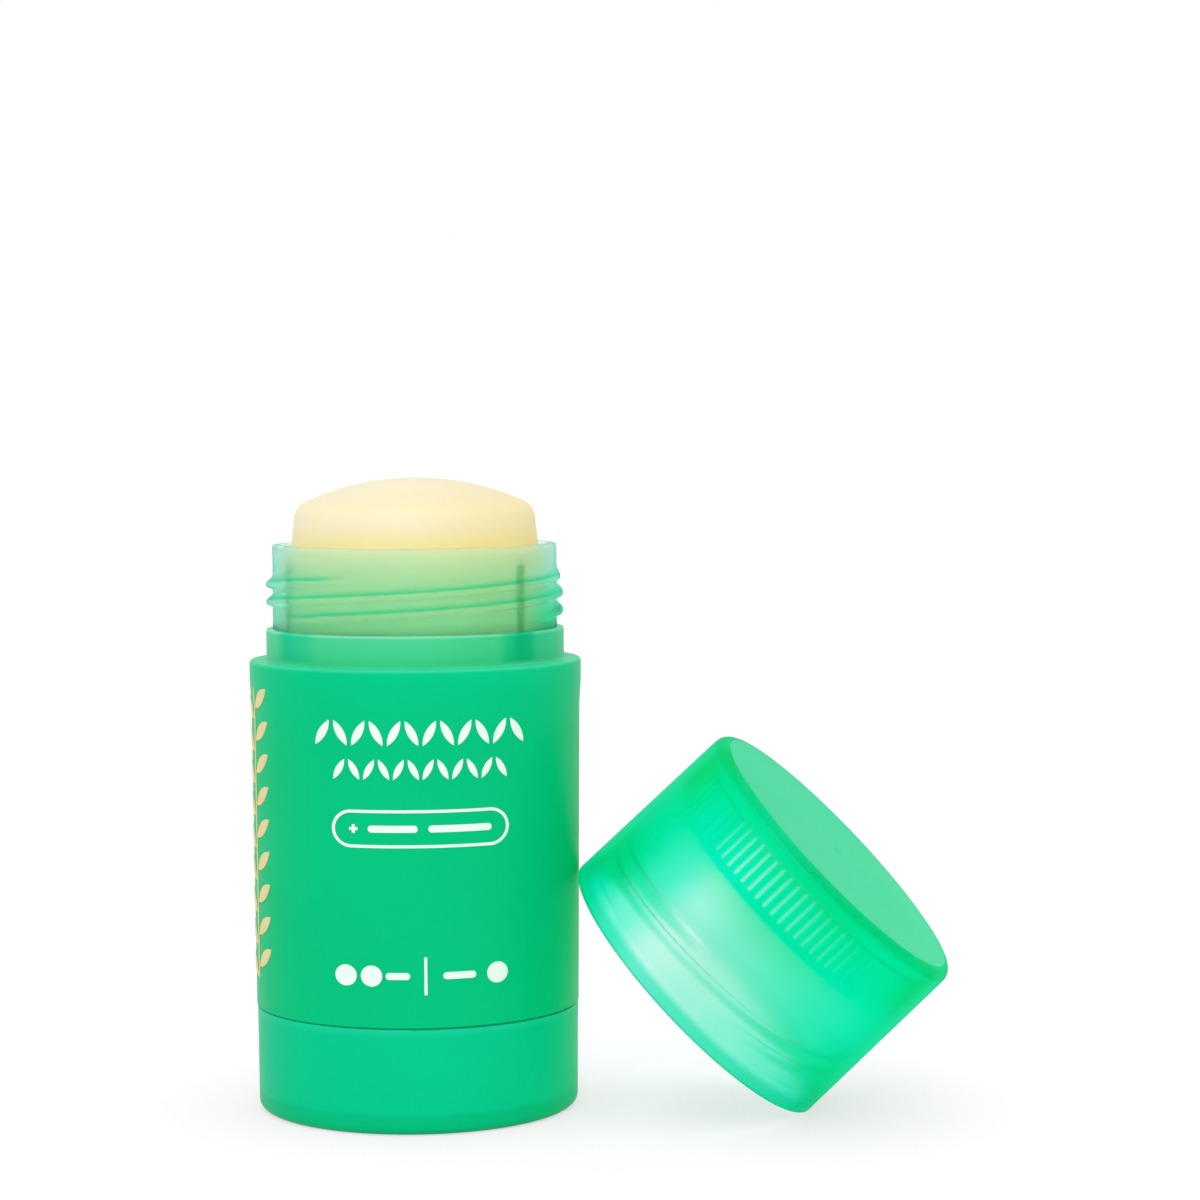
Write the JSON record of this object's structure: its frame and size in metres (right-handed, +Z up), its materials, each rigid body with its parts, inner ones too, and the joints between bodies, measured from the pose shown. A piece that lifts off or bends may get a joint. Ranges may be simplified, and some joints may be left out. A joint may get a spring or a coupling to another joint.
{
  "type": "anti-chafing stick",
  "caption": "Twist-up balm stick in a round green plastic barrel with a turning base, threaded neck, domed balm and a screw cap taken off and leaning on it.",
  "frame": {"origin": "centre of the knob's base, on the stick's axis, on the surface it stands on", "axes": "+Z up the stick, -Y towards the printed front, +X towards the leaning cap"},
  "size_m": [0.0819, 0.0436, 0.0742],
  "materials": {
    "barrel_plastic": "clear green moulded plastic, satin, faintly frosted",
    "knob_plastic": "clear green moulded plastic, satin",
    "cap_plastic": "clear green moulded plastic, frosted",
    "inner_plastic": "natural white moulded plastic",
    "balm": "cream balm, soft satin",
    "white_ink": "screen-printed white ink",
    "yellow_ink": "screen-printed pale yellow ink"
  },
  "bodies": {
    "barrel": {"barrel": "barrel_plastic", "cap": "cap_plastic", "front_print": "white_ink", "side_print": "yellow_ink"},
    "knob": {"knob": "knob_plastic", "lead_screw": "inner_plastic"},
    "elevator": {"elevator": "inner_plastic", "balm_stick": "balm"}
  },
  "joints": [
    {"name": "knob_turn", "type": "hinge", "parent": "barrel", "child": "knob", "pos_m": [0, 0, 0], "axis": [0, 0, -1], "range_deg": [0, 3420]},
    {"name": "elevator_rise", "type": "slide", "parent": "barrel", "child": "elevator", "axis": [0, 0, 1], "range_m": [0, 0.038]}
  ],
  "couplings": [
    {"joint": "elevator_rise", "follows": "knob_turn", "m_per_rad": 0.00063662}
  ]
}
